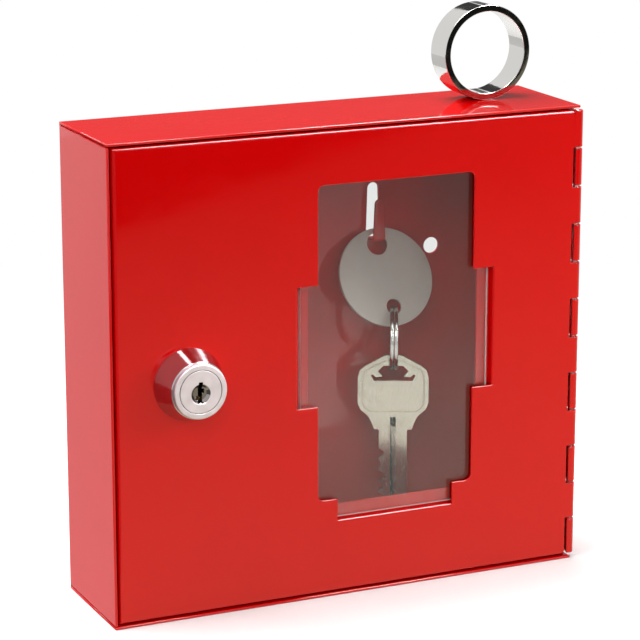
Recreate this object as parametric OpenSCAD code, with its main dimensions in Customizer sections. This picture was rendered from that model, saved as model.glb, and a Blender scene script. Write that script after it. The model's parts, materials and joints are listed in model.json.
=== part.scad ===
// Break glass key box: a folded steel wall cabinet with a hinged door, a breakable pane that is
// held by tabs lanced from the door, a wafer cam lock, and an emergency key hanging on a hook.
// Origin at the centre of the cabinet's underside, +X right, +Y to the wall, +Z up, millimetres.

/* [Cabinet] */
// Width over the side walls
cab_w = 158; // [154:1:220]
// Height from the underside to the top
cab_h = 150; // [146:1:220]
// Depth from the wall to the front rim
cab_d = 42; // [38:1:80]
// Thickness of the folded sheet steel
sheet_t = 0.9; // [0.6:0.05:1]
// Outside radius of the cabinet's folds
fold_r = 1.5; // [1.2:0.1:3]
// Open seam where a side wall meets the top or the bottom
seam = 0.3; // [0.2:0.05:0.5]

/* [Wall fixing] */
// Distance between the two screw holes
fix_spacing = 95; // [80:1:104]
// Diameter of a screw hole
fix_d = 5.2; // [4:0.1:6.5]
// Height of the screw holes
fix_z = 99.5; // [80:0.5:104]

/* [Key hook] */
// Sideways place of the hook from the middle of the window
hook_from_window = 11; // [6:1:14]
// Height of the hook's floor, on which the tag hangs
hook_z = 104.6; // [102:0.2:108]
// Width of the hook at its root
hook_root_w = 4.2; // [3.6:0.1:4.6]
// Width of the hook at its tip
hook_tip_w = 3.2; // [2.4:0.1:3.6]
// How far the hook stands off the back panel
hook_reach = 5.2; // [4.5:0.1:7]
// Height of the hook's upright
hook_rise = 13; // [8:0.5:16]
// Clear cut round the lanced hook
hook_kerf = 0.25; // [0.15:0.05:0.4]

/* [Door] */
// Gap between the door and the left side wall
gap_side = 0.8; // [0.5:0.1:1.2]
// Gap between the door and the top and bottom
gap_end = 0.6; // [0.4:0.1:1]
// Depth of the door's return flanges
flange_d = 10; // [8:0.5:10.5]
// Outside radius of the door's folds
door_fold_r = 1.2; // [1.1:0.1:2]

/* [Window] */
// Width of the window
win_w = 53.4; // [44:0.2:58]
// Height of the window
win_h = 100; // [90:1:100]
// Height of the window's sill
win_z = 31.8; // [28:0.2:36]
// Distance from the window to the hinge side of the cabinet
win_inset = 36.9; // [32:0.1:42]
// Radius of the window's corners
win_r = 2; // [1:0.5:4]

/* [Pane and its tabs] */
// Thickness of the pane
pane_t = 2; // [1.5:0.1:3]
// Play of the pane between the door and the tabs
pane_play = 0.3; // [0.2:0.05:0.5]
// Clearance at each side of the pane
pane_side_gap = 1.5; // [0.5:0.1:2]
// Clearance under the pane
pane_foot_gap = 0.8; // [0.3:0.1:0.9]
// How far the pane reaches above the window
pane_over = 5; // [4:0.5:6]
// How far the tab notches reach beyond the window
tab_out = 7; // [6:0.1:8]
// Height of the two side tabs
side_tab_h = 38.4; // [30:0.2:46]
// Height of the side tabs' lower end above the sill
side_tab_rise = 30.6; // [24:0.2:36]
// Width of the bottom tab
bottom_tab_w = 40; // [30:1:44]
// Width of the lips behind the pane
lip_w = 4.6; // [3.5:0.1:5.5]

/* [Hinge] */
// Diameter of the hinge pin
pin_d = 1.7; // [1.2:0.1:1.8]
// Radial play of the pin in the knuckles
pin_play = 0.05; // [0.03:0.01:0.08]
// Number of knuckles on each leaf
knuckle_pairs = 6; // [3:1:8]
// Gap between neighbouring knuckles
knuckle_gap = 0.5; // [0.3:0.1:0.8]
// Clearance round a knuckle in the other leaf
knuckle_clear = 0.25; // [0.2:0.05:0.4]

/* [Lock body] */
// Distance from the cabinet's left side to the lock's axis
lock_inset = 24.8; // [22:0.2:28]
// Height of the lock's axis
lock_z = 75; // [60:1:90]
// Radius of the collar where it meets the door
collar_base_r = 11.2; // [10:0.1:12.5]
// Radius of the collar under the lock's head
collar_top_r = 8.8; // [8.6:0.1:9.6]
// Height of the collar
collar_h = 8.5; // [6:0.1:10]
// Radius of the lock's head
head_r = 8.5; // [8.3:0.1:9]
// Thickness of the lock's head
head_t = 1.5; // [1.2:0.1:2.4]
// Chamfer round the head
head_chamfer = 0.4; // [0.2:0.1:0.6]
// Radius of the threaded barrel
barrel_r = 7.4; // [7.2:0.1:7.5]
// Width of the barrel over its flats
barrel_flats = 13.4; // [13.2:0.1:14]
// Clearance round the barrel in the door, collar, washer and nut
barrel_clear = 0.1; // [0.05:0.05:0.2]
// Distance from the door's face to the barrel's back end
barrel_in = 10.6; // [10.6:0.1:14]

/* [Lock plug] */
// Radius of the plug's face
plug_face_r = 6.65; // [6.4:0.05:6.8]
// Thickness of the plug's face disc
plug_face_t = 3; // [2.4:0.1:3.6]
// Radius of the plug's body
plug_r = 5; // [4.8:0.1:5.4]
// Running clearance of the plug in the barrel
plug_clear = 0.06; // [0.04:0.01:0.1]
// Side of the square tail that drives the cam
tail_side = 4.4; // [4:0.1:4.8]
// Height of the keyway
keyway_h = 6.4; // [5.8:0.1:6.8]
// Width of the keyway
keyway_w = 1.3; // [1.1:0.1:1.5]
// Radius of the dished ring round the keyway
dish_r = 3.15; // [2.9:0.05:3.4]
// How far the dish and the keyway sit below the axis
keyway_drop = 0.7; // [0.4:0.1:0.9]

/* [Tumblers] */
// Number of wafer tumblers
wafer_n = 5; // [3:1:6]
// Thickness of a wafer
wafer_t = 0.8; // [0.6:0.1:1]
// Width of a wafer
wafer_w = 4.2; // [3.8:0.1:4.4]
// Distance from one wafer to the next
wafer_pitch = 2.4; // [2.2:0.1:2.6]
// Play of a wafer in its slot
wafer_play = 0.1; // [0.05:0.05:0.15]
// Radius of a wafer spring
spring_r = 0.5; // [0.4:0.05:0.6]
// Length of a wafer spring
spring_l = 3; // [2.4:0.1:3.4]

/* [Nut, cam and strike] */
// Width of the lock nut over its flats
nut_af = 19; // [18:0.5:20]
// Thickness of the lock nut
nut_h = 3.4; // [2.5:0.1:4.2]
// Outer radius of the lock washer
washer_r = 10; // [9.4:0.1:10.8]
// Thickness of the lock washer
washer_t = 0.7; // [0.5:0.1:1]
// Length of the cam from the axis to its tip
cam_l = 21.4; // [20:0.2:22]
// Width of the cam
cam_w = 12; // [11:0.5:14]
// Thickness of the cam
cam_t = 1.6; // [1.2:0.1:2]
// Gap between the strike and the cam
cam_gap = 0.3; // [0.2:0.1:0.5]
// Quarter turn of the lock in degrees
lock_turn = 90; // [60:10:120]
// Width of the stop washer's lug in degrees
stop_lug = 60; // [40:5:70]
// Thickness of the stop washer
stop_t = 0.9; // [0.7:0.1:1.2]
// Diameter of the cam screw
cam_screw_d = 3; // [2.5:0.1:3.2]
// Radius of the cam screw's head and washer
cam_screw_head_r = 3.2; // [3:0.1:3.6]
// Height of the cam screw's head
cam_screw_head_h = 2.2; // [1.8:0.1:2.6]
// Height of the strike
strike_h = 28; // [20:1:32]
// How far the strike's lip reaches in from the wall
strike_lip = 7; // [5:0.5:8]
// Length of the strike's foot along the wall
strike_foot = 12; // [8:1:16]
// Thickness of the strike
strike_t = 1; // [0.8:0.1:1.2]
// Gap between the closed door's flange and the strike, which is its stop
stop_gap = 0.3; // [0.2:0.1:0.5]

/* [Key tag] */
// Diameter of the tag
tag_d = 32.5; // [30:0.5:34]
// Thickness of the tag
tag_t = 1; // [0.8:0.1:1.2]
// Radius of the hole that hangs on the hook
tag_hole_r = 3.6; // [3.4:0.1:3.8]
// Radius of the hole that holds the ring
tag_ring_hole_r = 2.6; // [2.5:0.1:2.8]
// Distance from the tag's middle to the hook hole
tag_hole_up = 11; // [10.5:0.1:11.5]
// Distance from the tag's middle to the ring hole
tag_hole_down = 10; // [9.5:0.1:10.5]
// Forward lean of the hanging tag in degrees
tag_lean = 25; // [22:1:27]
// Turn of the hanging tag in its own plane in degrees
tag_tilt = 5; // [0:1:8]
// Distance from the back panel to the middle of the hook hole
tag_off_back = 3.1; // [3:0.05:3.3]
// Height of the hook's floor above the middle of the hook hole
tag_hang = 2.1; // [1.9:0.1:2.2]

/* [Split ring] */
// Mean radius of the ring
ring_r = 10; // [9.6:0.1:10.4]
// Thickness of the wire
ring_wire = 1.1; // [0.8:0.05:1.1]
// Distance from one turn to the next
ring_pitch = 1.6; // [1.55:0.01:1.65]
// Angle over which the second turn laps the first, in degrees
ring_lap = 300; // [180:10:300]
// Yaw of the ring's plane, and of the key on it, in degrees
ring_yaw = -25; // [-30:1:-15]
// Drop of the wire below the middle of the tag's hole
ring_drop = 0.4; // [0.3:0.1:0.5]

/* [Emergency key] */
// Width of the bow
bow_w = 23; // [22:0.5:26]
// Height of the bow from its apex to its lower corners
bow_h = 20.4; // [19:0.1:22]
// Distance from the apex to the shoulder
key_shoulder = 25; // [24.5:0.5:28]
// Overall length
key_l = 54; // [48:1:58]
// Width of the blade
blade_w = 9.2; // [8:0.1:10]
// Thickness of the key
key_t = 2; // [1.6:0.1:2.2]
// Metal between the apex and the ring hole
key_eye = 3.6; // [3.2:0.1:4]
// Clearance of the key on the ring wire
key_hang = 0.35; // [0.3:0.05:0.4]

/* [Striker ring] */
// Outside diameter
striker_d = 30; // [26:0.5:36]
// Wall thickness
striker_wall = 2; // [1.6:0.1:2.6]
// Width along its axis
striker_w = 10; // [7:0.5:12]
// Sideways place on the lid, from the hinge side of the cabinet
striker_inset = 22.5; // [20:0.5:40]
// Place of its middle behind the middle of the lid
striker_back = 4; // [0:0.5:8]
// Gap under the ring
striker_gap = 0.1; // [0.05:0.05:0.3]

/* [Hidden] */
$fn = 96;
eps = 0.5;

paint = "firebrick";
chrome = "gainsboro";
zinc = "silver";
brass = "darkkhaki";

// Cabinet faces
front_y = -cab_d / 2;
back_y = cab_d / 2;
panel_y = back_y - sheet_t;
left_x = -cab_w / 2;
right_x = cab_w / 2;

// Door outline
door_x0 = left_x + sheet_t + gap_side;
door_z0 = sheet_t + gap_end;
door_z1 = cab_h - sheet_t - gap_end;
door_back_y = front_y + flange_d;
sheet_back_y = front_y + sheet_t;

// Hinge axis and knuckles
bore_r = pin_d / 2 + pin_play;
knuckle_r = bore_r + sheet_t;
hinge_x = right_x;
hinge_y = front_y + knuckle_r;
knuckle_pitch = (door_z1 - door_z0) / (2 * knuckle_pairs);

// Window, notches and pane
win_x1 = right_x - win_inset;
win_x0 = win_x1 - win_w;
win_x = (win_x0 + win_x1) / 2;
win_z1 = win_z + win_h;
notch_x0 = win_x0 - tab_out;
notch_x1 = win_x1 + tab_out;
notch_z0 = win_z - tab_out;
side_tab_z = win_z + side_tab_rise;
lip_y = sheet_back_y + pane_t + pane_play;
lip_back_y = lip_y + sheet_t;
pane_y = sheet_back_y + pane_play / 2;
pane_z1 = win_z1 + pane_over;

// Lock stations along Y
lock_x = left_x + lock_inset;
face_gap = 0.05;
head_back_y = front_y - collar_h;
head_front_y = head_back_y - head_t;
barrel_back_y = front_y + barrel_in;
nut_y = sheet_back_y + washer_t;
stop_y = barrel_back_y + face_gap;
stop_back_y = stop_y + stop_t;
stop_play = 2;
stop_rim_r = barrel_r - 1.8;
stop_rim_play = 0.2;
cam_y = max(stop_back_y, door_back_y + stop_gap + strike_t + cam_gap);
cam_back_y = cam_y + cam_t;
cam_washer_t = 0.8;
tail_back_y = cam_back_y - 0.2;
screw_hole = 5;
strike_y = cam_y - cam_gap - strike_t;
first_wafer_y = head_front_y + plug_face_t + 2;
keyway_end = 3;
keyway_mid = 0.5 - keyway_drop;
spring_x = lock_x + wafer_w / 2 + spring_r;
groove_r = barrel_r - 1.3;
groove_end = 2;
tail_hole = tail_side + 0.1;

// Tag, ring and key
hook_x = win_x + hook_from_window;
tag_y = panel_y - tag_off_back;
tag_z = hook_z - tag_hang;
tag_span = tag_hole_up + tag_hole_down;
ring_hole_x = hook_x + tag_span * sin(tag_tilt);
ring_hole_y = tag_y - tag_span * cos(tag_tilt) * sin(tag_lean);
ring_hole_z = tag_z - tag_span * cos(tag_tilt) * cos(tag_lean);
ring_z = ring_hole_z - ring_drop - ring_r;
key_pivot_z = ring_z - ring_r;
key_top_z = key_pivot_z + ring_wire / 2 + key_hang + key_eye;

striker_x = right_x - striker_inset;

// Rectangle from the origin whose two far corners, at v = deep, are rounded.
module far_round(u, deep, r, low = true, high = true) {
    square([u, deep - r]);
    translate([low ? r : 0, 0]) square([u - (low ? r : 0) - (high ? r : 0), deep]);
    if (low) translate([r, deep - r]) circle(r);
    if (high) translate([u - r, deep - r]) circle(r);
}

// Block from the plane Y = 0 to Y = deep, folded round the edges of its far face.
module folded_block(x0, x1, z0, z1, deep, r, fold_x1 = true) {
    intersection() {
        translate([x0, 0, z0]) linear_extrude(z1 - z0) far_round(x1 - x0, deep, r, true, fold_x1);
        translate([x0, 0, z0]) rotate([90, 0, 90]) linear_extrude(x1 - x0)
            mirror([1, -1]) far_round(z1 - z0, deep, r);
    }
}

// Cylinder along +Y from y0 to y1 about the point (x, z).
module rod_y(x, z, r, y0, y1) {
    translate([x, y1, z]) rotate([90, 0, 0]) cylinder(r = r, h = y1 - y0);
}

// Pie slice from angle a0 to a1, up to 180 degrees wide, reaching past the radius r.
module sector(a0, a1, r) {
    mid = (a0 + a1) / 2;
    polygon([[0, 0], for (a = [a0, (a0 + mid) / 2, mid, (mid + a1) / 2, a1]) [r * cos(a), r * sin(a)]]);
}

// Box given by its lowest and highest corner.
module block(a, b) {
    translate(a) cube(b - a);
}

// Flat shape drawn in X and Z, from y0 to y1.
module plate_y(y0, y1) {
    translate([0, y1, 0]) rotate([90, 0, 0]) linear_extrude(y1 - y0) children();
}

// Span of a knuckle: even ones belong to the cabinet and odd ones to the door.
function knuckle_z0(i) = door_z0 + i * knuckle_pitch + knuckle_gap / 2;
function knuckle_z1(i) = door_z0 + (i + 1) * knuckle_pitch - knuckle_gap / 2;
cabinet_knuckles = [for (i = [0 : knuckle_pairs - 1]) 2 * i];
door_knuckles = [for (i = [0 : knuckle_pairs - 1]) 2 * i + 1];

module knuckle_bore() {
    translate([hinge_x, hinge_y, -eps]) cylinder(r = bore_r, h = cab_h + 2 * eps);
}

module knuckle(i) {
    translate([hinge_x, hinge_y, knuckle_z0(i)])
        cylinder(r = knuckle_r, h = knuckle_z1(i) - knuckle_z0(i));
}

// The hook's tongue as it lies in the back panel, in X and Z, grown by the cut round it.
module tongue(length, grow = 0) {
    translate([hook_x, hook_z - sheet_t]) {
        polygon([
            [-hook_root_w / 2 - grow, 0], [hook_root_w / 2 + grow, 0],
            [hook_tip_w / 2 + grow, length - hook_tip_w / 2],
            [-hook_tip_w / 2 - grow, length - hook_tip_w / 2]
        ]);
        translate([0, length - hook_tip_w / 2]) circle(hook_tip_w / 2 + grow);
    }
}

module hook() {
    upright_y = panel_y - hook_reach;
    // The floor runs forward out of the slot's lower end.
    block([hook_x - hook_root_w / 2, upright_y, hook_z - sheet_t],
          [hook_x + hook_root_w / 2, back_y, hook_z]);
    // The upright is the rest of the tongue, turned up.
    plate_y(upright_y, upright_y + sheet_t) tongue(hook_rise + sheet_t);
}

module cabinet_shell() {
    cut_y = hinge_y + knuckle_r + knuckle_clear;
    color(paint) {
        difference() {
            translate([0, front_y, 0]) folded_block(left_x, right_x, 0, cab_h, cab_d, fold_r);
            translate([0, front_y - eps, 0]) folded_block(
                left_x + sheet_t, right_x - sheet_t, sheet_t, cab_h - sheet_t,
                cab_d - sheet_t + eps, fold_r - sheet_t);
            // Open seams at the ends of both side walls
            for (side = [-1, 1], z = [sheet_t, cab_h - sheet_t - seam]) {
                x = side * (right_x - sheet_t / 2);
                block([x - sheet_t, front_y - eps, z], [x + sheet_t, back_y - fold_r, z + seam]);
            }
            // Room for the hinge along the right wall
            block([right_x - 2 * sheet_t, front_y - eps, sheet_t + seam / 2],
                  [right_x + eps, cut_y, cab_h - sheet_t - seam / 2]);
            // Screw holes
            for (side = [-1, 1])
                rod_y(side * fix_spacing / 2, fix_z, fix_d / 2, panel_y - eps, back_y + eps);
            // Slot from which the hook is lanced
            plate_y(panel_y - eps, back_y + eps) tongue(hook_reach + hook_rise, hook_kerf);
        }
        hook();
        difference() {
            for (i = cabinet_knuckles) {
                knuckle(i);
                block([right_x - sheet_t, hinge_y, knuckle_z0(i)], [right_x, cut_y + eps, knuckle_z1(i)]);
            }
            knuckle_bore();
        }
    }
}

// Angle welded inside the left wall: the closed door stops on it and the cam turns behind it.
module strike_bracket() {
    wall_x = left_x + sheet_t;
    z0 = lock_z - strike_h / 2;
    z1 = lock_z + strike_h / 2;
    color(paint) {
        block([wall_x, strike_y, z0], [wall_x + strike_lip, strike_y + strike_t, z1]);
        block([wall_x, strike_y, z0], [wall_x + strike_t, strike_y + strike_foot, z1]);
    }
}

module hinge_pin() {
    color(zinc) translate([hinge_x, hinge_y, knuckle_z0(0)])
        cylinder(r = pin_d / 2, h = knuckle_z1(2 * knuckle_pairs - 1) - knuckle_z0(0));
}

// Window with its two side notches and its bottom notch, in X and Z.
module window_cut() {
    translate([win_x0, win_z]) {
        translate([win_r, 0]) square([win_w - 2 * win_r, win_h]);
        translate([0, win_r]) square([win_w, win_h - 2 * win_r]);
        for (x = [win_r, win_w - win_r], z = [win_r, win_h - win_r]) translate([x, z]) circle(win_r);
    }
    translate([notch_x0, side_tab_z]) square([notch_x1 - notch_x0, side_tab_h]);
    translate([win_x - bottom_tab_w / 2, notch_z0]) square([bottom_tab_w, 2 * tab_out]);
}

// Tab folded back from a notch's outer edge and in behind the pane, for the side given by -1 or 1.
module side_tab(side) {
    edge_x = side < 0 ? notch_x0 : notch_x1;
    translate([edge_x, 0, 0]) mirror([side < 0 ? 1 : 0, 0, 0]) {
        block([0, front_y + sheet_t / 2, side_tab_z], [sheet_t, lip_back_y, side_tab_z + side_tab_h]);
        block([-lip_w, lip_y, side_tab_z], [sheet_t, lip_back_y, side_tab_z + side_tab_h]);
    }
}

module bottom_tab() {
    x0 = win_x - bottom_tab_w / 2;
    x1 = win_x + bottom_tab_w / 2;
    block([x0, front_y + sheet_t / 2, notch_z0 - sheet_t], [x1, lip_back_y, notch_z0]);
    block([x0, lip_y, notch_z0 - sheet_t], [x1, lip_back_y, notch_z0 + lip_w]);
}

module lock_hole() {
    intersection() {
        circle(barrel_r + barrel_clear);
        square([barrel_flats + 2 * barrel_clear, 3 * barrel_r], center = true);
    }
}

module door_panel() {
    end_x = hinge_x - knuckle_r - knuckle_clear;
    color(paint) {
        difference() {
            translate([0, door_back_y, 0]) mirror([0, 1, 0])
                folded_block(door_x0, hinge_x, door_z0, door_z1, flange_d, door_fold_r, false);
            translate([0, door_back_y + eps, 0]) mirror([0, 1, 0]) folded_block(
                door_x0 + sheet_t, hinge_x + eps, door_z0 + sheet_t, door_z1 - sheet_t,
                flange_d - sheet_t + eps, door_fold_r - sheet_t, false);
            // The flanges stop short of the hinge
            block([end_x, sheet_back_y, 0], [hinge_x + eps, door_back_y + eps, cab_h]);
            // Notches for the cabinet's knuckles
            for (i = cabinet_knuckles)
                block([end_x, front_y - eps, knuckle_z0(i) - knuckle_gap],
                      [hinge_x + eps, sheet_back_y + eps, knuckle_z1(i) + knuckle_gap]);
            plate_y(front_y - eps, sheet_back_y + eps) window_cut();
            plate_y(front_y - eps, sheet_back_y + eps) translate([lock_x, lock_z]) lock_hole();
        }
        side_tab(-1);
        side_tab(1);
        bottom_tab();
        difference() {
            for (i = door_knuckles) knuckle(i);
            knuckle_bore();
        }
    }
}

module break_glass() {
    color("lightcyan", 0.35)
        block([notch_x0 + pane_side_gap, pane_y, notch_z0 + pane_foot_gap],
              [notch_x1 - pane_side_gap, pane_y + pane_t, pane_z1]);
}

// Solid of revolution about the lock's axis: points are [radius, y].
module turned(points) {
    translate([lock_x, 0, lock_z]) rotate([-90, 0, 0]) rotate_extrude() polygon(points);
}

module lock_collar() {
    bore = barrel_r + barrel_clear;
    color(chrome) turned([
        [bore, front_y], [collar_base_r, front_y], [collar_base_r, front_y - 0.6],
        [collar_top_r, head_back_y], [bore, head_back_y]
    ]);
}

module lock_barrel() {
    color(chrome) difference() {
        union() {
            turned([
                [0, head_back_y], [head_r, head_back_y], [head_r, head_front_y + head_chamfer],
                [head_r - head_chamfer, head_front_y], [0, head_front_y]
            ]);
            intersection() {
                rod_y(lock_x, lock_z, barrel_r, head_back_y - eps, barrel_back_y);
                block([lock_x - barrel_flats / 2, head_back_y - eps, lock_z - barrel_r],
                      [lock_x + barrel_flats / 2, barrel_back_y, lock_z + barrel_r]);
            }
        }
        rod_y(lock_x, lock_z, plug_face_r + plug_clear,
              head_front_y - eps, head_front_y + plug_face_t + plug_clear);
        rod_y(lock_x, lock_z, plug_r + plug_clear, head_front_y, barrel_back_y + eps);
        // Broached grooves that the wafers drop into
        block([lock_x - wafer_w / 2 - wafer_play, first_wafer_y - wafer_t, lock_z - groove_r],
              [lock_x + wafer_w / 2 + wafer_play, barrel_back_y - groove_end, lock_z + groove_r]);
    }
    // Stop behind the barrel, open where the stop washer's lug turns
    color(chrome) plate_y(barrel_back_y, stop_back_y) translate([lock_x, lock_z]) difference() {
        intersection() {
            circle(barrel_r);
            square([barrel_flats, 3 * barrel_r], center = true);
        }
        circle(stop_rim_r);
        sector(270 - lock_turn - stop_lug / 2 - stop_play, 270 + stop_lug / 2 + stop_play, 2 * barrel_r);
    }
}

// Washer on the plug's tail, whose lug runs between the two ends of the barrel's stop.
module stop_washer() {
    color(zinc) plate_y(stop_y, stop_back_y) translate([lock_x, lock_z]) difference() {
        union() {
            circle(stop_rim_r - stop_rim_play);
            intersection() {
                circle(barrel_r - stop_rim_play);
                sector(270 - stop_lug / 2, 270 + stop_lug / 2, 2 * barrel_r);
            }
        }
        square([tail_hole, tail_hole], center = true);
    }
}

module lock_washer() {
    bore = barrel_r + barrel_clear;
    color(zinc) turned([
        [bore, sheet_back_y], [washer_r, sheet_back_y], [washer_r, nut_y], [bore, nut_y]
    ]);
}

module lock_nut() {
    color(zinc) difference() {
        translate([lock_x, nut_y + nut_h, lock_z]) rotate([90, 0, 0])
            cylinder(d = nut_af / cos(30), h = nut_h, $fn = 6);
        rod_y(lock_x, lock_z, barrel_r + barrel_clear, nut_y - eps, nut_y + nut_h + eps);
    }
}

// Warded keyway about the lock's axis, in X and Z.
module keyway() {
    ward = keyway_w / 2;
    translate([-keyway_w / 2, keyway_mid - keyway_h / 2]) {
        square([keyway_w, keyway_h]);
        translate([-ward, keyway_h * 0.12]) square([2 * ward, keyway_h * 0.2]);
        translate([keyway_w - ward, keyway_h * 0.45]) square([2 * ward, keyway_h * 0.2]);
    }
}

module wafer_blank(play = 0) {
    square([wafer_w + 2 * play, 2 * plug_r], center = true);
}

module lock_plug() {
    color(chrome) difference() {
        union() {
            rod_y(lock_x, lock_z, plug_face_r, head_front_y, head_front_y + plug_face_t);
            rod_y(lock_x, lock_z, plug_r, head_front_y, barrel_back_y);
            block([lock_x - tail_side / 2, barrel_back_y - eps, lock_z - tail_side / 2],
                  [lock_x + tail_side / 2, tail_back_y, lock_z + tail_side / 2]);
        }
        // Dish round the keyway
        translate([lock_x, head_front_y, lock_z - keyway_drop]) rotate([-90, 0, 0])
            translate([0, 0, -0.01]) cylinder(r1 = dish_r, r2 = dish_r - 1, h = 1);
        plate_y(head_front_y - eps, barrel_back_y - keyway_end) translate([lock_x, lock_z]) keyway();
        for (i = [0 : wafer_n - 1]) {
            y0 = first_wafer_y + i * wafer_pitch;
            plate_y(y0 - wafer_play, y0 + wafer_t + wafer_play)
                translate([lock_x, lock_z]) wafer_blank(wafer_play);
            // Side pocket for the wafer's spring
            translate([spring_x, y0 + wafer_t / 2, lock_z - spring_l / 2 - wafer_play])
                cylinder(r = spring_r + wafer_play / 2, h = spring_l + 2 * wafer_play);
        }
        rod_y(lock_x, lock_z, cam_screw_d / 2, cam_back_y - screw_hole, cam_back_y + eps);
    }
}

module tumbler_wafers() {
    color(brass) for (i = [0 : wafer_n - 1]) {
        y0 = first_wafer_y + i * wafer_pitch;
        intersection() {
            plate_y(y0, y0 + wafer_t) translate([lock_x, lock_z]) difference() {
                wafer_blank();
                translate([0, keyway_mid]) square([keyway_w + 1.6, keyway_h * 0.8], center = true);
            }
            rod_y(lock_x, lock_z, plug_r - 0.1, y0 - eps, y0 + wafer_t + eps);
        }
    }
}

module wafer_springs() {
    color(zinc) for (i = [0 : wafer_n - 1])
        translate([spring_x, first_wafer_y + i * wafer_pitch + wafer_t / 2, lock_z - spring_l / 2])
            cylinder(r = spring_r - wafer_play / 2, h = spring_l);
}

// Cam as the door is unlocked: it hangs straight down from the plug's tail.
module lock_cam() {
    color(zinc) difference() {
        plate_y(cam_y, cam_back_y) translate([lock_x, lock_z]) difference() {
            union() {
                circle(cam_w / 2);
                translate([-cam_w / 2, -cam_l + cam_w / 4]) square([cam_w, cam_l - cam_w / 4]);
                translate([-cam_w / 4, -cam_l]) square([cam_w / 2, cam_w / 2]);
                for (side = [-1, 1]) translate([side * cam_w / 4, -cam_l + cam_w / 4]) circle(cam_w / 4);
            }
            square([tail_hole, tail_hole], center = true);
        }
    }
}

module cam_washer() {
    color(zinc) difference() {
        rod_y(lock_x, lock_z, cam_screw_head_r + 0.9, cam_back_y, cam_back_y + cam_washer_t);
        rod_y(lock_x, lock_z, cam_screw_d / 2 + 0.1, cam_back_y - eps, cam_back_y + cam_washer_t + eps);
    }
}

module cam_screw() {
    head_y = cam_back_y + cam_washer_t;
    head_back_y = head_y + cam_screw_head_h;
    recess = [4.2, 2.4, 0.8];
    color(zinc) difference() {
        union() {
            rod_y(lock_x, lock_z, cam_screw_d / 2 - 0.05, cam_back_y - screw_hole + eps, head_y + eps);
            rod_y(lock_x, lock_z, cam_screw_head_r, head_y, head_back_y);
        }
        // Crossed recess
        for (turn = [0, 90]) translate([lock_x, head_back_y, lock_z]) rotate([0, turn, 0])
            cube(recess, center = true);
    }
}

// Tag in its own plane, hook hole at the origin, then leaned forward about that hole.
module key_tag() {
    color("gray") translate([hook_x, tag_y, tag_z]) rotate([-tag_lean, 0, 0])
        plate_y(-tag_t / 2, tag_t / 2) rotate(tag_tilt) difference() {
            translate([0, -tag_hole_up]) circle(tag_d / 2);
            circle(tag_hole_r);
            translate([0, -tag_span]) circle(tag_ring_hole_r);
        }
}

// Six-sided wire wound about X in one unbroken piece: each turn is flat, and it steps across once,
// at the side next to the back panel. Angles run from the ring's lowest point.
ring_steps = 24;
ring_start = 30;
ring_cross = 60;
ring_cross_at = 90;
ring_sides = 6;
function ring_shift(a) = ring_pitch * min(1, max(0, (a - (360 - ring_cross / 2)) / ring_cross));
function ring_point(a, side) =
    let (b = 360 * side / ring_sides, r = ring_r + ring_wire / 2 * cos(b), c = a + ring_cross_at)
    [ring_shift(a) - ring_pitch / 2 + ring_wire / 2 * sin(b), r * sin(c), -r * cos(c)];
ring_step = 360 / ring_steps;
ring_last = (360 + ring_lap) / ring_step;
ring_points = [for (s = [0 : ring_last], k = [0 : ring_sides - 1])
    ring_point(ring_start + s * ring_step, k)];
ring_faces = concat(
    [[for (k = [0 : ring_sides - 1]) ring_sides - 1 - k]],
    [for (s = [0 : ring_last - 1], k = [0 : ring_sides - 1]) each
        let (a = ring_sides * s + k, b = ring_sides * s + (k + 1) % ring_sides)
        [[a, b, b + ring_sides], [a, b + ring_sides, a + ring_sides]]],
    [[for (k = [0 : ring_sides - 1]) ring_sides * ring_last + k]]);
ring_least_gap = min([for (s = [0 : ring_last - ring_steps], j = [0, 1, 2, 3], k = [3, 4, 5, 0])
    let (a = ring_start + s * ring_step) norm(ring_point(a, j) - ring_point(a + 360, k))]);
echo(split_ring_least_gap = ring_least_gap);

module split_ring() {
    color(chrome) translate([ring_hole_x, ring_hole_y, ring_z]) rotate([0, 0, ring_yaw])
        polyhedron(points = ring_points, faces = ring_faces);
}

// Right half of the bow in X and Z from its apex down, drawn in from its edge by inset.
function bow_half(inset = 0) = [
    [2.6, -1.1 * inset], [bow_w / 2 - 2.4, -3.6 - 0.9 * inset],
    [bow_w / 2 - 0.7 - 0.8 * inset, -5 - 0.6 * inset],
    [bow_w / 2 - inset, -7.4], [bow_w / 2 - inset, -bow_h + 4.4],
    [bow_w / 2 - 0.9 - 0.8 * inset, -bow_h + 2.2 + 0.5 * inset],
    [bow_w / 2 - 3.4 - 0.4 * inset, -bow_h + inset]
];
neck_half = [
    [blade_w / 2 + 2.8, -bow_h - 1.2], [blade_w / 2 + 1.5, -key_shoulder], [blade_w / 2, -key_shoulder],
    [blade_w / 2, -key_l + 3], [1, -key_l]
];
function mirrored(points) = [for (i = [len(points) - 1 : -1 : 0]) [-points[i][0], points[i][1]]];
bit_pitch = 3.8;
bit_depths = [1.6, 0.6, 2.2, 1.2, 1.8];

// Hat-shaped hole with a thin slot below it, its top edge on the line Z = 0.
eye_half = [
    [3.2, 0], [4.9, -1.8], [3.3, -3.6], [5.6, -3.8], [6.6, -2.9], [7.2, -3.2], [6.2, -5]
];

module key_outline() {
    right = concat(bow_half(), neck_half);
    difference() {
        polygon(concat(right, mirrored(right)));
        // Cuts along the blade's left edge
        for (i = [0 : len(bit_depths) - 1]) translate([-blade_w / 2, -key_shoulder - 8 - i * bit_pitch])
            let (d = bit_depths[i])
            polygon([[-1, 2.2], [0, 1.6], [d, 0.5], [d, -0.5], [0, -1.6], [-1, -2.2]]);
        translate([0, -key_eye]) polygon(concat(eye_half, mirrored(eye_half)));
    }
}

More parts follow.
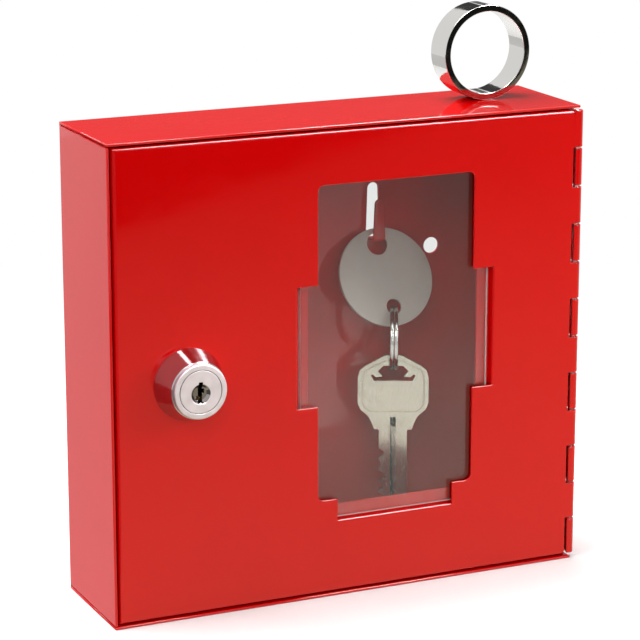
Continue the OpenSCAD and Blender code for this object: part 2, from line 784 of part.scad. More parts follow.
module emergency_key() {
    rim = 1.4;
    recess = 0.2;
    groove = 0.45;
    groove_w = 1.7;
    panel = bow_half(rim);
    color(brass) translate([ring_hole_x, ring_hole_y, key_top_z]) rotate([0, 0, ring_yaw]) difference() {
        plate_y(-key_t / 2, key_t / 2) key_outline();
        for (side = [-1, 1]) {
            // Sunk panel on the bow
            plate_y(side < 0 ? -key_t : key_t / 2 - recess, side < 0 ? recess - key_t / 2 : key_t)
                polygon(concat(panel, mirrored(panel)));
            // Groove milled along the blade
            plate_y(side < 0 ? -key_t : key_t / 2 - groove, side < 0 ? groove - key_t / 2 : key_t)
                translate([-groove_w / 2, -key_l - 1]) square([groove_w, key_l - bow_h + 0.6]);
        }
        // Step milled along the cut side
        plate_y(-key_t, groove - key_t / 2)
            translate([-blade_w, -key_l - 1]) square([blade_w - 1.4, key_l - key_shoulder + 2.6]);
    }
}

module striker_ring() {
    z = cab_h + striker_gap + striker_d / 2;
    color(chrome) difference() {
        rod_y(striker_x, z, striker_d / 2, striker_back - striker_w / 2, striker_back + striker_w / 2);
        rod_y(striker_x, z, striker_d / 2 - striker_wall, striker_back - striker_w, striker_back + striker_w);
    }
}

cabinet_shell();
strike_bracket();
hinge_pin();
door_panel();
break_glass();
lock_collar();
lock_barrel();
lock_washer();
lock_nut();
lock_plug();
tumbler_wafers();
wafer_springs();
stop_washer();
lock_cam();
cam_washer();
cam_screw();
key_tag();
split_ring();
emergency_key();
striker_ring();
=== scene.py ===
import json
import math

import bmesh
import bpy
from mathutils import Matrix, Vector


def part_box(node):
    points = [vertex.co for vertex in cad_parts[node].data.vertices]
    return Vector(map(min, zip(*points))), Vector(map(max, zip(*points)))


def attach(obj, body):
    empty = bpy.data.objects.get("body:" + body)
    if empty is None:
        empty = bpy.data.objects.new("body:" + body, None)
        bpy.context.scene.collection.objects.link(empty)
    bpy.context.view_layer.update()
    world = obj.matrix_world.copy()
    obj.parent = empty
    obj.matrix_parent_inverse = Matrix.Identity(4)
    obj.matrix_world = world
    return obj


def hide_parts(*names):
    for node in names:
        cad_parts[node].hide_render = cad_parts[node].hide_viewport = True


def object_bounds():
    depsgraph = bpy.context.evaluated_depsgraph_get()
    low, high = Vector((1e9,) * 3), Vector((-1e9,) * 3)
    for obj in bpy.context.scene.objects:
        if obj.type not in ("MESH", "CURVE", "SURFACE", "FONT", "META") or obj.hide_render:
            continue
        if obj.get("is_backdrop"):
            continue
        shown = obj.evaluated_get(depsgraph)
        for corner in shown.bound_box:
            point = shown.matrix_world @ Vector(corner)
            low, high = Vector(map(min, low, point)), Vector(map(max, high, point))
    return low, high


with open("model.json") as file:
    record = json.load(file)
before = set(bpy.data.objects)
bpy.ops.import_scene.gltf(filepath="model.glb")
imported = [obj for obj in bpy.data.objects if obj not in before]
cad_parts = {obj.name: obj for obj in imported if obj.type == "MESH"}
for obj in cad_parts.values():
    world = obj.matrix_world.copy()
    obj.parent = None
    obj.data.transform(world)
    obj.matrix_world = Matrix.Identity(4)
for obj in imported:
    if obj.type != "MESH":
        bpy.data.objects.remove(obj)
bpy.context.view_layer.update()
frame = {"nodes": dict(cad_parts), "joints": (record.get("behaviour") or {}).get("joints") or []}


# Cabinet shell
# An open tray folded from one piece of 0.9 mm sheet steel: the back panel with four walls turned
# forward. The side walls meet the top and the bottom in open seams. Its right wall ends in six
# rolled knuckles, and the key hook is lanced from its back panel. Enamelled red all over.

mm = 0.001


def add(tree, kind, inputs=None, **settings):
    """Adds a shader node. An input is a plain value or another node's output."""
    made = tree.nodes.new("ShaderNode" + kind)
    for name, value in settings.items():
        setattr(made, name, value)
    for socket, value in (inputs or {}).items():
        if isinstance(value, bpy.types.NodeSocket):
            tree.links.new(value, made.inputs[socket])
        else:
            made.inputs[socket].default_value = value
    return made


def new_finish(name, color, roughness, metallic=0.0):
    """A material with one plain shader. Returns it, its node tree and that shader."""
    finish = bpy.data.materials.new(name)
    finish.use_nodes = True
    shader = finish.node_tree.nodes["Principled BSDF"]
    shader.inputs["Base Color"].default_value = (*color, 1)
    shader.inputs["Roughness"].default_value = roughness
    shader.inputs["Metallic"].default_value = metallic
    return finish, finish.node_tree, shader


def cloudy(tree, size, stretch=(1, 1, 1), detail=2.0):
    """Soft noise from 0 to 1 with patches of a size in metres, stretched along the axes."""
    place = add(tree, "TexCoord").outputs["Object"]
    scale = tuple(1 / (size * s) for s in stretch)
    moved = add(tree, "Mapping", {"Vector": place, "Scale": scale})
    noise = add(tree, "TexNoise", {"Vector": moved.outputs[0], "Scale": 1.0, "Detail": detail})
    return noise.outputs["Fac"]


def between(tree, factor, low, high, start=0.3, end=0.7):
    """Runs a value from low to high as factor goes from start to end."""
    names = ("Value", "From Min", "From Max", "To Min", "To Max")
    return add(tree, "MapRange", dict(zip(names, (factor, start, end, low, high)))).outputs["Result"]


def shades(tree, factor, dark, light):
    """Mixes two colours."""
    mix = add(tree, "MixRGB", {"Fac": factor, "Color1": (*dark, 1), "Color2": (*light, 1)})
    return mix.outputs["Color"]


def relief(tree, height, depth, under=None):
    """Turns a height from 0 to 1 into relief of a depth in metres, over another relief."""
    inputs = {"Height": height, "Distance": depth}
    if under is not None:
        inputs["Normal"] = under
    return add(tree, "Bump", inputs).outputs["Normal"]


def connect(tree, shader, **sources):
    """Links outputs to the shader's sockets, whose names are written with an underscore."""
    for name, source in sources.items():
        tree.links.new(source, shader.inputs[name.replace("_", " ")])


def red_enamel():
    """Glossy stoved enamel on steel, with its orange peel and slightly cloudy colour."""
    finish, tree, shader = new_finish("red_enamel", (0.60, 0.0008, 0.0012), 0.07)
    color = shades(tree, cloudy(tree, 24 * mm), (0.58, 0.0003, 0.0006), (0.62, 0.0012, 0.0018))
    gloss = between(tree, cloudy(tree, 6 * mm), 0.05, 0.09)
    peel = relief(tree, cloudy(tree, 1.1 * mm, detail=1.0), 0.003 * mm)
    waves = relief(tree, cloudy(tree, 7 * mm, detail=0.0), 0.008 * mm, peel)
    connect(tree, shader, Base_Color=color, Roughness=gloss, Normal=waves)
    return finish


def grid(bm, rows, around=False, closed=False):
    """Joins rows of points into a skin. Each row may close on itself, and the rows on the first."""
    made = [[bm.verts.new(point) for point in row] for row in rows]
    if around:
        made = [row + row[:1] for row in made]
    if closed:
        made.append(made[0])
    for a, b in zip(made, made[1:]):
        for i in range(len(a) - 1):
            bm.faces.new((a[i], a[i + 1], b[i + 1], b[i]))
    return made


def filled(bm, loops):
    """Fills a flat outline with its holes, each a list of points."""
    edges = []
    for loop in loops:
        corners = [bm.verts.new(point) for point in loop]
        edges += [bm.edges.new(pair) for pair in zip(corners, corners[1:] + corners[:1])]
    made = bmesh.ops.triangle_fill(bm, use_beauty=True, edges=edges)["geom"]
    inner = [e for e in made if isinstance(e, bmesh.types.BMEdge) and e not in edges]
    bmesh.ops.dissolve_limit(bm, angle_limit=0.01, edges=inner, verts=[])


def full_turn(steps):
    """Angles in radians, evenly spread round a full turn."""
    return [2 * math.pi * k / steps for k in range(steps)]


def circle(u, v, radius, steps=48):
    """A flat round outline about a centre."""
    return [(u + radius * math.cos(a), v + radius * math.sin(a)) for a in full_turn(steps)]


def bend(start, end, step=15):
    """Angles in radians along a bend, from its start to its end in degrees."""
    count = max(1, round(abs(end - start) / step))
    return [math.radians(start + (end - start) * k / count) for k in range(count + 1)]


def piece(name, bm, finish, body, slot, *nodes):
    """Makes an object of a mesh that rides on a body and stands for the CAD nodes named."""
    bmesh.ops.remove_doubles(bm, verts=bm.verts, dist=0.005 * mm)
    bmesh.ops.recalc_face_normals(bm, faces=bm.faces)
    mesh = bpy.data.meshes.new(name)
    bm.to_mesh(mesh)
    bm.free()
    mesh.polygons.foreach_set("use_smooth", [True] * len(mesh.polygons))
    mesh.materials.append(finish)
    made = bpy.data.objects.new(name, mesh)
    bpy.context.scene.collection.objects.link(made)
    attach(made, body)
    if nodes:
        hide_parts(*nodes)
    return made


def edges_broken(part, width, steps=2, sharpest=40, marked=False):
    """Rounds a piece's sharp or marked edges a little, and keeps its flat faces flat in the light."""
    corners = part.modifiers.new("broken edges", "BEVEL")
    corners.width = width
    corners.segments = steps
    corners.limit_method = "WEIGHT" if marked else "ANGLE"
    corners.angle_limit = math.radians(sharpest)
    corners.use_clamp_overlap = False
    part.modifiers.new("flat faces", "WEIGHTED_NORMAL").keep_sharp = True


def made_of_sheet(part, thickness, face_front):
    """Gives a skin its thickness behind it and breaks its cut edges. The largest face looks along
    face_front."""
    mesh = part.data
    largest = max(mesh.polygons, key=lambda face: face.area)
    if largest.normal.dot(Vector(face_front)) < 0:
        mesh.flip_normals()
    beside = {}
    for face in mesh.polygons:
        for key in face.edge_keys:
            beside.setdefault(key, []).append(face.normal)

    # A cut edge has one face beside it. The strips of a bend run along X or Z and stay smooth, and
    # an edge in any other direction at which the skin turns, where two folds meet, is crisp.
    marks = [float(len(beside[edge.key]) == 1) for edge in mesh.edges]
    same = 0.999
    leaving = {}
    for edge in mesh.edges:
        a, b = edge.vertices
        along = (mesh.vertices[b].co - mesh.vertices[a].co).normalized()
        turns = beside[edge.key][0].dot(beside[edge.key][-1]) < same
        edge.use_edge_sharp = turns and max(abs(along.x), abs(along.z)) < same
        if marks[edge.index]:
            leaving.setdefault(a, []).append((edge.index, along))
            leaving.setdefault(b, []).append((edge.index, -along))

    # At the end of a slit two cut edges leave a point in nearly the same direction. They stay sharp.
    for ends in leaving.values():
        if len(ends) == 2 and ends[0][1].dot(ends[1][1]) > 0.5:
            for index, along in ends:
                marks[index] = 0.0
    mesh.attributes.new("bevel_weight_edge", "FLOAT", "EDGE").data.foreach_set("value", marks)
    wall = part.modifiers.new("sheet", "SOLIDIFY")
    wall.thickness = thickness
    wall.offset = -1
    wall.use_even_offset = True
    wall.use_quality_normals = True
    edges_broken(part, 0.28 * mm, steps=3, marked=True)


def joint_place(name):
    """A point on a joint's axis."""
    return Vector(next(joint["pos_m"] for joint in frame["joints"] if joint["name"] == name))


enamel = red_enamel()
sheet_t = 0.9 * mm
fold_r = 1.5 * mm
seam = 0.3 * mm
shell_low, shell_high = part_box("cabinet_shell")
half_w = -shell_low.x
front_y, back_y = shell_low.y, shell_high.y
top_z = shell_high.z

# The twelve knuckles share the door's height. They are the cabinet's and the door's by turns, and
# each is rolled from one angle round the pin to another, in degrees.
hinge = joint_place("door_hinge")
door_low, door_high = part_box("door_panel")
knuckle_r = 1.8 * mm
knuckle_clear = 0.25 * mm
knuckle_gap = 0.5 * mm
knuckle_count = 12
knuckle_pitch = (door_high.z - door_low.z) / knuckle_count
knuckle_ends = [door_low.z + i * knuckle_pitch for i in range(knuckle_count + 1)]
knuckles = [
    (low + knuckle_gap / 2, high - knuckle_gap / 2)
    for low, high in zip(knuckle_ends, knuckle_ends[1:])
]
shell_knuckles, door_knuckles = knuckles[0::2], knuckles[1::2]
shell_roll, door_roll = (90, -135), (-90, 200)


def rolled(span, start, end):
    """Rows of a leaf's edge rolled round the pin, from one angle to another in degrees."""
    return [
        [(hinge.x + knuckle_r * math.cos(a), hinge.y + knuckle_r * math.sin(a), z) for z in span]
        for a in bend(start, end)
    ]


def fold(radius):
    """Steps of a fold: how far in from the wall and how far on from the flat panel each one lies."""
    return [(radius * (1 - math.sin(a)), radius * (1 - math.cos(a))) for a in bend(0, 90)]


shell = bmesh.new()
wall_z0, wall_z1 = sheet_t + seam, top_z - sheet_t - seam
right_end_y = hinge.y + knuckle_r + knuckle_clear
past_fold = 0.1 * mm
past_fold_y = back_y - fold_r - past_fold
knuckle_zs = [z for span in shell_knuckles for z in span]


def side_row(side, inset, y, middle=()):
    """Points up a side wall's fold, with its ends drawn in as the other folds are."""
    ends = (inset, max(inset, wall_z0)), (min(top_z - inset, wall_z1), top_z - inset)
    return [(side * (half_w - inset), y, z) for z in (*ends[0], *middle, *ends[1])]


# Bottom and top, left and right, and the leaves rolled round the pin
for z, up in ((0, 1), (top_z, -1)):
    rows = [
        [(side * (half_w - inset), back_y - depth, z + up * inset) for side in (-1, 1)]
        for inset, depth in fold(fold_r)
    ]
    grid(shell, rows + [[(-half_w, y, z), (half_w, y, z)] for y in (past_fold_y, front_y)])
left_rows = [side_row(-1, inset, back_y - depth) for inset, depth in fold(fold_r)]
right_rows = [side_row(1, inset, back_y - depth, knuckle_zs) for inset, depth in fold(fold_r)]
left_end = [(-half_w, front_y, z) for z in (wall_z0, wall_z1)]
right_end = [(half_w, right_end_y, z) for z in (wall_z0, *knuckle_zs, wall_z1)]
grid(shell, left_rows)
grid(shell, right_rows)
grid(shell, [left_rows[-1][1:-1], left_end])
grid(shell, [right_rows[-1][1:-1], right_end])
for span in shell_knuckles:
    grid(shell, [[(half_w, right_end_y, z) for z in span]] + rolled(span, *shell_roll))

# The hook is bent forward and up out of a slot that has its own outline and a clear cut round it.
# Its tip is rounded as far as tip_round, in degrees.
tag_pivot = joint_place("tag_swing")
hook_x = tag_pivot.x
hook_over_pivot = 2.1 * mm
hook_z = tag_pivot.z + hook_over_pivot
hook_root_w = 4.2 * mm
hook_tip_w = 3.2 * mm
hook_reach = 5.2 * mm
hook_rise = 13 * mm
hook_kerf = 0.25 * mm
tip_round = 75
root_bend = 1.0 * mm
floor_bend = 0.4 * mm
slot_z = hook_z - root_bend
slot_r = hook_tip_w / 2 + hook_kerf
slot_end = hook_z - sheet_t + hook_reach + hook_rise - hook_tip_w / 2
upright_y = back_y - hook_reach
tip_z = hook_z + hook_rise - hook_tip_w / 2
slot = [
    (hook_x - hook_root_w / 2 - hook_kerf, slot_z), (hook_x - hook_root_w / 2, slot_z),
    (hook_x + hook_root_w / 2, slot_z), (hook_x + hook_root_w / 2 + hook_kerf, slot_z),
    *[(hook_x + slot_r * math.cos(a), slot_end + slot_r * math.sin(a)) for a in bend(0, 180)],
]
tongue = [
    (back_y - root_bend * (1 - math.cos(a)), slot_z + root_bend * math.sin(a)) for a in bend(0, 90)
] + [
    (upright_y + floor_bend * (1 - math.sin(a)), hook_z + floor_bend * (1 - math.cos(a)))
    for a in bend(0, 90)
]
rows = [[(hook_x + side * hook_root_w / 2, y, z) for side in (-1, 1)] for y, z in tongue]
rows += [
    [
        (hook_x + side * hook_tip_w / 2 * math.cos(a), upright_y, tip_z + hook_tip_w / 2 * math.sin(a))
        for side in (-1, 1)
    ]
    for a in bend(0, tip_round)
]
grid(shell, rows)

# The back panel. Its rim follows the side folds' first rows, with each corner taken once.
screw_x, screw_z, screw_r = 47.5 * mm, 99.5 * mm, 2.6 * mm
panel_rim = [(x, z) for x, y, z in right_rows[0] + left_rows[0][::-1]]
panel_rim = [point for i, point in enumerate(panel_rim) if point != panel_rim[i - 1]]
screw_holes = [circle(side * screw_x, screw_z, screw_r) for side in (-1, 1)]
filled(shell, [[(x, back_y, z) for x, z in loop] for loop in (panel_rim, slot, *screw_holes)])
shell_piece = piece("folded_shell", shell, enamel, "cabinet", "red_enamel", "cabinet_shell")
made_of_sheet(shell_piece, sheet_t, (0, 1, 0))


# Strike
# An angle of 1 mm steel, spot-welded inside the left wall and enamelled with it. The closed door
# stops on it, and the lock's cam turns behind its lip.

def keep_node(name, finish, edge, steps=2):
    """Gives a CAD node its finish and breaks its sharp edges."""
    node = frame["nodes"][name]
    for material_slot in node.material_slots:
        material_slot.material = finish
    node.modifiers.new("one skin", "WELD").merge_threshold = 0.002 * mm
    edges_broken(node, edge, steps)


keep_node("strike_bracket", enamel, 0.16 * mm)


# Hinge pin
# One straight steel wire, bright zinc, 1.7 mm thick. It is pushed through all twelve knuckles, in
# which it turns freely, and its ends are rounded over.

def turned(bm, centre, up, profile, hollow=True, steps=96):
    """Turns a profile of radius and height about an axis. A hollow one closes on itself."""
    up = Vector(up)
    side = Vector((1, 0, 0))
    across = up.cross(side)
    rows = []
    for a in full_turn(steps):
        out = side * math.cos(a) + across * math.sin(a)
        rows.append([Vector(centre) + up * h + out * r for r, h in profile])
    grid(bm, rows, around=hollow, closed=True)


def zinc_steel():
    """Bright zinc on steel, faintly mottled and brushed by handling."""
    finish, tree, shader = new_finish("zinc_steel", (0.60, 0.61, 0.60), 0.32, 1.0)
    color = shades(tree, cloudy(tree, 1.5 * mm), (0.50, 0.51, 0.51), (0.66, 0.66, 0.64))
    gloss = between(tree, cloudy(tree, 0.8 * mm, detail=4.0), 0.24, 0.42)
    grain = relief(tree, cloudy(tree, 0.15 * mm, detail=3.0), 0.004 * mm)
    connect(tree, shader, Base_Color=color, Roughness=gloss, Normal=grain)
    return finish


zinc = zinc_steel()
pin_low, pin_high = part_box("hinge_pin")
pin_r = (pin_high.x - pin_low.x) / 2
pin_dome = 0.5 * mm
dome = [(pin_r * math.sin(a), pin_dome * (1 - math.cos(a))) for a in bend(0, 90)]
pin_profile = [(r, pin_low.z + h) for r, h in dome] + [(r, pin_high.z - h) for r, h in dome[::-1]]
pin = bmesh.new()
turned(pin, (hinge.x, hinge.y, 0), (0, 0, 1), pin_profile, hollow=False, steps=32)
piece("pin_wire", pin, zinc, "cabinet", "zinc_steel", "hinge_pin")


# Door
# A shallow pan folded from the same sheet and enamelled red. Its window has a notch at each side
# and one below, and the tabs from those notches are folded back and in behind the pane. Its right
# edge ends in six rolled knuckles, and the lock sits in a round hole with two flats.

def rounded(corners, radius=0.0, steps=4):
    """A closed flat outline with round corners. A corner may bring its own radius as a third number."""
    outline = []
    for i, (u, v, *own) in enumerate(corners):
        here = Vector((u, v))
        back = (Vector(corners[i - 1][:2]) - here).normalized()
        on = (Vector(corners[(i + 1) % len(corners)][:2]) - here).normalized()
        r = own[0] if own else radius
        half = back.angle(on) / 2
        if r <= 0 or half > math.radians(89):
            outline.append((u, v))
            continue
        centre = here + (back + on).normalized() * r / math.sin(half)
        start, end = (here + side * r / math.tan(half) - centre for side in (back, on))
        for k in range(steps + 1):
            point = centre + start.normalized().slerp(end.normalized(), k / steps) * r
            outline.append((point.x, point.y))
    return outline


door_fold_r = 1.2 * mm
face_x0 = door_low.x + door_fold_r
face_x1 = hinge.x - knuckle_r - knuckle_clear
face_z0, face_z1 = door_low.z + door_fold_r, door_high.z - door_fold_r
flange_y = door_high.y
door = bmesh.new()

# Folds and flanges along the bottom, the top and the left
for z, up in ((door_low.z, 1), (door_high.z, -1)):
    rows = [
        [(x, front_y + depth, z + up * inset) for x in (door_low.x + inset, face_x1)]
        for inset, depth in fold(door_fold_r)
    ]
    grid(door, rows + [[(door_low.x, flange_y, z), (face_x1, flange_y, z)]])
rows = [
    [(door_low.x + inset, front_y + depth, z) for z in (door_low.z + inset, door_high.z - inset)]
    for inset, depth in fold(door_fold_r)
]
grid(door, rows + [[(door_low.x, flange_y, z) for z in (door_low.z, door_high.z)]])

# Leaves rolled round the pin. The topmost one starts below the top fold and reaches up beside it.
leaf_drop, leaf_step = 0.5 * mm, 0.4 * mm
leaf_top = face_z1 - leaf_drop
for low, high in door_knuckles:
    start = [[(face_x1, front_y, z) for z in (low, min(high, leaf_top))]]
    if high > leaf_top:
        start.append([(face_x1 + leaf_step, front_y, z) for z in (low, high)])
    grid(door, start + rolled((low, high), *door_roll))

# Window with its notches, whose outer edges lie where the tabs' folds start
win_x0, win_x1 = -11.3 * mm, 42.1 * mm
win_z0, win_z1 = 31.8 * mm, 131.8 * mm
win_r = 2 * mm
tab_out = 7 * mm
tab_fold_r = 0.6 * mm
lip_fold_r = 0.3 * mm
lip_w = 4.6 * mm
tab_from, tab_to = 30.6 * mm, 69 * mm
tab_z0, tab_z1 = win_z0 + tab_from, win_z0 + tab_to
foot_half = 20 * mm
foot_x0, foot_x1 = (win_x0 + win_x1) / 2 - foot_half, (win_x0 + win_x1) / 2 + foot_half
foot_z = win_z0 - tab_out
inner = 0.4 * mm
root = 1 * mm
root_x0, root_x1 = win_x0 - tab_out - tab_fold_r, win_x1 + tab_out + tab_fold_r
root_z = foot_z - tab_fold_r
window = rounded([
    (win_x0, win_z0, win_r), (foot_x0, win_z0, inner), (foot_x0, root_z + root), (foot_x0, root_z),
    (foot_x1, root_z), (foot_x1, root_z + root), (foot_x1, win_z0, inner), (win_x1, win_z0, win_r),
    (win_x1, tab_z0, inner), (root_x1 - root, tab_z0), (root_x1, tab_z0),
    (root_x1, tab_z1), (root_x1 - root, tab_z1), (win_x1, tab_z1, inner), (win_x1, win_z1, win_r),
    (win_x0, win_z1, win_r), (win_x0, tab_z1, inner), (root_x0 + root, tab_z1), (root_x0, tab_z1),
    (root_x0, tab_z0), (root_x0 + root, tab_z0), (win_x0, tab_z0, inner),
])
pane_low, pane_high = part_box("break_glass")
pane_clear = 0.15 * mm
lip_y = pane_high.y + pane_clear

# A tab's path, as how far it reaches out from the notch's edge and how far back it lies
tab_path = [
    (tab_fold_r * (1 - math.sin(a)), tab_fold_r * (1 - math.cos(a))) for a in bend(0, 90)
] + [
    (-lip_fold_r * (1 - math.cos(a)), lip_y - front_y - lip_fold_r * (1 - math.sin(a)))
    for a in bend(0, 90)
] + [(-lip_w, lip_y - front_y)]
for edge_x, side in ((win_x0 - tab_out, -1), (win_x1 + tab_out, 1)):
    rows = [
        [(edge_x + side * out, front_y + deep, z) for z in (tab_z0, tab_z1)]
        for out, deep in tab_path
    ]
    grid(door, rows)
grid(door, [[(x, front_y + deep, foot_z - out) for x in (foot_x0, foot_x1)] for out, deep in tab_path])

# Hole for the lock, with a flat at each side
lock = joint_place("lock_turn")
hole_r, hole_flat = 7.5 * mm, 6.8 * mm
flat_end = math.degrees(math.acos(hole_flat / hole_r))
lock_hole = [
    (lock.x + hole_r * math.cos(a), lock.z + hole_r * math.sin(a))
    for start in (flat_end, 180 + flat_end)
    for a in bend(start, start + 180 - 2 * flat_end, 8)
]
leaf_zs = [z for low, high in door_knuckles for z in (low, min(high, leaf_top))]
door_rim = [(face_x0, face_z1), (face_x0, face_z0)]
door_rim += [(face_x1, z) for z in (face_z0, *leaf_zs, face_z1)]
filled(door, [[(x, front_y, z) for x, z in loop] for loop in (door_rim, window, lock_hole)])
door_piece = piece("folded_door", door, enamel, "door", "red_enamel", "door_panel")
made_of_sheet(door_piece, sheet_t, (0, -1, 0))


# Pane
# A 2 mm clear plastic pane, made to be broken, with sawn edges. It stands on the bottom tab and is
# held against the back of the door by the lips of the three tabs.

def clear_plastic():
    """Clear sheet with a faint grey tint and frosted sawn edges. Lamps shine through it unbent."""
    finish, tree, shader = new_finish("clear_pane", (0.81, 0.82, 0.81), 0.0)
    shader.inputs["Transmission Weight"].default_value = 1.0
    shader.inputs["IOR"].default_value = 1.49
    haze = between(tree, cloudy(tree, 9 * mm, detail=5.0), 0.0, 0.02, 0.5, 0.8)
    connect(tree, shader, Roughness=haze)
    path = add(tree, "LightPath").outputs
    lit = {0: path["Is Shadow Ray"], 1: path["Is Diffuse Ray"]}
    unseen = add(tree, "Math", lit, operation="MAXIMUM").outputs[0]
    clear = add(tree, "BsdfTransparent", {"Color": (0.905, 0.91, 0.905, 1)}).outputs[0]
    plain = add(tree, "MixShader", {0: unseen, 1: shader.outputs[0], 2: clear}).outputs[0]

    # The sawn edges are the faces that do not look along Y.
    normal = add(tree, "NewGeometry").outputs["True Normal"]
    facing = add(tree, "SeparateXYZ", {0: normal}).outputs["Y"]
    facing = add(tree, "Math", {0: facing}, operation="ABSOLUTE").outputs[0]
    sawn = between(tree, facing, 0.6, 0.0, 0.0, 0.3)
    frost = add(tree, "BsdfDiffuse", {"Color": (0.86, 0.88, 0.86, 1)}).outputs[0]
    mix = add(tree, "MixShader", {0: sawn, 1: plain, 2: frost})
    tree.links.new(mix.outputs[0], tree.nodes["Material Output"].inputs["Surface"])
    return finish


pane = bmesh.new()
bmesh.ops.create_cube(pane, size=1.0)
bmesh.ops.scale(pane, vec=pane_high - pane_low, verts=pane.verts)
bmesh.ops.translate(pane, vec=(pane_high + pane_low) / 2, verts=pane.verts)
pane_piece = piece("clear_sheet", pane, clear_plastic(), "door", "clear_pane", "break_glass")
edges_broken(pane_piece, 0.12 * mm)


# Lock collar
# A conical ring of polished chrome on brass, with its wide end on the front of the door. The lock's
# head clamps it there.

def bright_chrome(name, color, polish=0.03):
    """Mirror chrome with the faint waviness of polishing and a few dull wipes."""
    finish, tree, shader = new_finish(name, color, polish, 1.0)
    gloss = between(tree, cloudy(tree, 3 * mm, detail=4.0), polish, polish + 0.07, 0.4, 0.75)
    waves = relief(tree, cloudy(tree, 2.5 * mm, detail=1.0), 0.006 * mm)
    connect(tree, shader, Roughness=gloss, Normal=waves)
    return finish


# The collar's chrome is darker and faintly purple next to the ring's: painted shade.
shaded_collar_chrome = bright_chrome("shaded_collar_chrome", (0.56, 0.54, 0.56), polish=0.10)
lock_axis = (lock.x, 0, lock.z)
along_y = (0, 1, 0)
collar_low, collar_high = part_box("lock_collar")
collar_r = (collar_high.x - collar_low.x) / 2
collar_top_r = 8.8 * mm
collar_bore = 7.5 * mm
collar_profile = rounded([
    (collar_bore, front_y), (collar_r, front_y, 0.1 * mm), (collar_r, front_y - 0.6 * mm, 0.5 * mm),
    (collar_top_r, collar_low.y, 0.25 * mm), (collar_bore, collar_low.y),
])
collar = bmesh.new()
turned(collar, lock_axis, along_y, collar_profile, steps=128)
collar_piece = piece("cone_collar", collar, shaded_collar_chrome, "door", "bright_chrome", "lock_collar")
collar_piece.modifiers.new("flat faces", "WEIGHTED_NORMAL")


# Lock barrel
# The housing of the wafer lock, turned from brass and chromed, with a flat satin head in front of
# the collar. Behind it the barrel is threaded, with two flats, and ends in the plug's stop.

def satin_chrome():
    """Satin chrome with fine turning marks round the lock's axis. Its base is faintly pink, a painted
    reflection of the red enamel round the lock.
    """
    finish, tree, shader = new_finish("satin_chrome", (0.61, 0.545, 0.57), 0.48, 1.0)
    place = add(tree, "TexCoord").outputs["Object"]
    away = add(tree, "VectorMath", {0: place, 1: lock_axis}, operation="SUBTRACT").outputs[0]
    flat = add(tree, "VectorMath", {0: away, 1: (1, 0, 1)}, operation="MULTIPLY").outputs[0]
    radius = add(tree, "VectorMath", {0: flat}, operation="LENGTH").outputs["Value"]
    lines = {"W": radius, "Scale": 1 / (0.25 * mm), "Detail": 3.0}
    marks = add(tree, "TexNoise", lines, noise_dimensions="1D")
    cloud = cloudy(tree, 2 * mm)
    gloss = between(tree, cloud, 0.44, 0.52)
    color = shades(tree, cloud, (0.59, 0.525, 0.55), (0.63, 0.565, 0.59))
    grooves = relief(tree, marks.outputs["Fac"], 0.0006 * mm)
    connect(tree, shader, Base_Color=color, Roughness=gloss, Normal=grooves)
    return finish


def cut(part, tool_bm, operation="DIFFERENCE"):
    """Cuts or joins a piece with a tool shape, which is thrown away after, and clears up slivers."""
    bmesh.ops.remove_doubles(tool_bm, verts=tool_bm.verts, dist=0.005 * mm)
    bmesh.ops.recalc_face_normals(tool_bm, faces=tool_bm.faces)
    shape = bpy.data.meshes.new("tool")
    tool_bm.to_mesh(shape)
    tool_bm.free()
    tool = bpy.data.objects.new("tool", shape)
    bpy.context.scene.collection.objects.link(tool)
    step = part.modifiers.new("cut", "BOOLEAN")
    step.object = tool
    step.operation = operation
    step.solver = "EXACT"
    result = bpy.data.meshes.new_from_object(part.evaluated_get(bpy.context.evaluated_depsgraph_get()))
    clean = bmesh.new()
    clean.from_mesh(result)
    bmesh.ops.remove_doubles(clean, verts=clean.verts, dist=0.002 * mm)
    bmesh.ops.dissolve_degenerate(clean, edges=clean.edges, dist=0.002 * mm)
    bmesh.ops.holes_fill(clean, edges=clean.edges, sides=8)
    clean.to_mesh(result)
    clean.free()
    part.modifiers.clear()
    part.data = result
    bpy.data.objects.remove(tool)


def block(low, high):
    """A box between two corners, as a tool shape."""
    made = bmesh.new()
    bmesh.ops.create_cube(made, size=1.0)
    low, high = Vector(low), Vector(high)
    bmesh.ops.scale(made, vec=high - low, verts=made.verts)
    bmesh.ops.translate(made, vec=(high + low) / 2, verts=made.verts)
    return made


def about_lock(a, profile):
    """A profile of radius and place along Y, at one angle round the lock's axis."""
    return [(lock.x + r * math.cos(a), y, lock.z + r * math.sin(a)) for r, y in profile]


def flat_radius(a, flat):
    """How far from the lock's axis a pair of upright flats lies at an angle."""
    return flat / max(abs(math.cos(a)), 0.01)


satin = satin_chrome()
barrel_low, barrel_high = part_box("lock_barrel")
head_back_y = collar_low.y
head_r = (barrel_high.x - barrel_low.x) / 2
face_bore, plug_bore = 6.8 * mm, 5.06 * mm
face_deep, stop_long = 3.06 * mm, 0.95 * mm
face_seat_y = barrel_low.y + face_deep
neck_r, barrel_r, barrel_flat = 7.45 * mm, 7.4 * mm, 6.7 * mm
barrel_end_y = barrel_high.y - stop_long
thread_pitch, thread_deep = 1.0 * mm, 0.55 * mm
thread_start = 1 * mm
thread_start_y = front_y + thread_start
rows_per_pitch = 6


def thread_radius(a, y):
    """The barrel's radius at an angle and a place along Y. The thread climbs one pitch a turn, fades
    out over a pitch at each end, and is cut by the flats."""
    phase = ((y / thread_pitch) - a / (2 * math.pi)) % 1
    pitches_in = (y - thread_start_y) / thread_pitch
    pitches_left = (barrel_end_y - y) / thread_pitch
    fade = min(1, max(0, pitches_in), max(0, pitches_left))
    ridge = barrel_r - thread_deep * fade * abs(2 * phase - 1)
    return min(ridge, flat_radius(a, barrel_flat))


